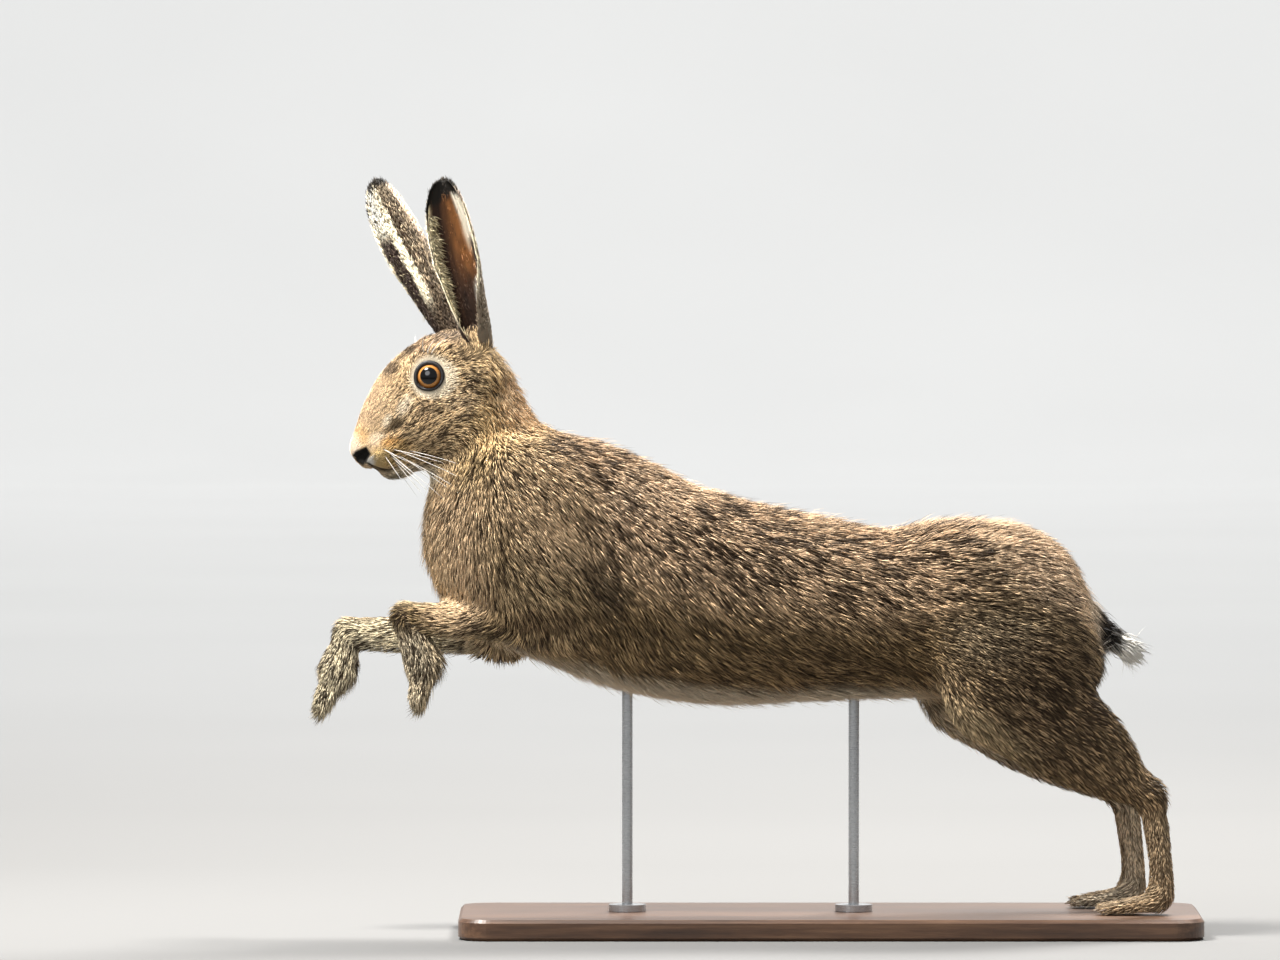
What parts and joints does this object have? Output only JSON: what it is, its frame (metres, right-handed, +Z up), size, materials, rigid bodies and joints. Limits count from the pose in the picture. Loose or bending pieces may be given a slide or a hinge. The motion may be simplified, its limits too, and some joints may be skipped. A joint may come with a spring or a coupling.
{
  "type": "brown hare museum model",
  "caption": "Life-size brown hare in mid-bound, ears raised, forelegs tucked and hind feet pushing off, on a plain board with slim steel rods.",
  "frame": {"origin": "centre of the base board's underside", "axes": "+Z up, -X the way the hare bounds, -Y the hare's left side"},
  "size_m": [0.666, 0.19, 0.5654],
  "materials": {
    "fur": "grizzled tan and black-brown fur",
    "pale_fur": "cream and sandy fur",
    "white_fur": "white fur with a black upper side",
    "ear_skin": "short-furred ear skin, orange-brown inside, black at the tip",
    "eye": "wet amber-brown eye with a black pupil",
    "stand_wood": "dark stained satin wood",
    "stand_steel": "brushed steel"
  },
  "bodies": {
    "root": {"head": "fur", "lower_jaw": "pale_fur", "ear_left": "ear_skin", "ear_right": "ear_skin", "eye_left": "eye", "eye_right": "eye", "neck": "fur", "torso": "fur", "tail": "white_fur", "shoulder_left": "fur", "shoulder_right": "fur", "forearm_left": "fur", "forearm_right": "fur", "forepaw_left": "fur", "forepaw_right": "fur", "thigh_left": "fur", "thigh_right": "fur", "shank_left": "fur", "shank_right": "fur", "hindfoot_left": "fur", "hindfoot_right": "fur", "stand_base": "stand_wood", "stand_rod_front": "stand_steel", "stand_rod_rear": "stand_steel"}
  },
  "joints": []
}
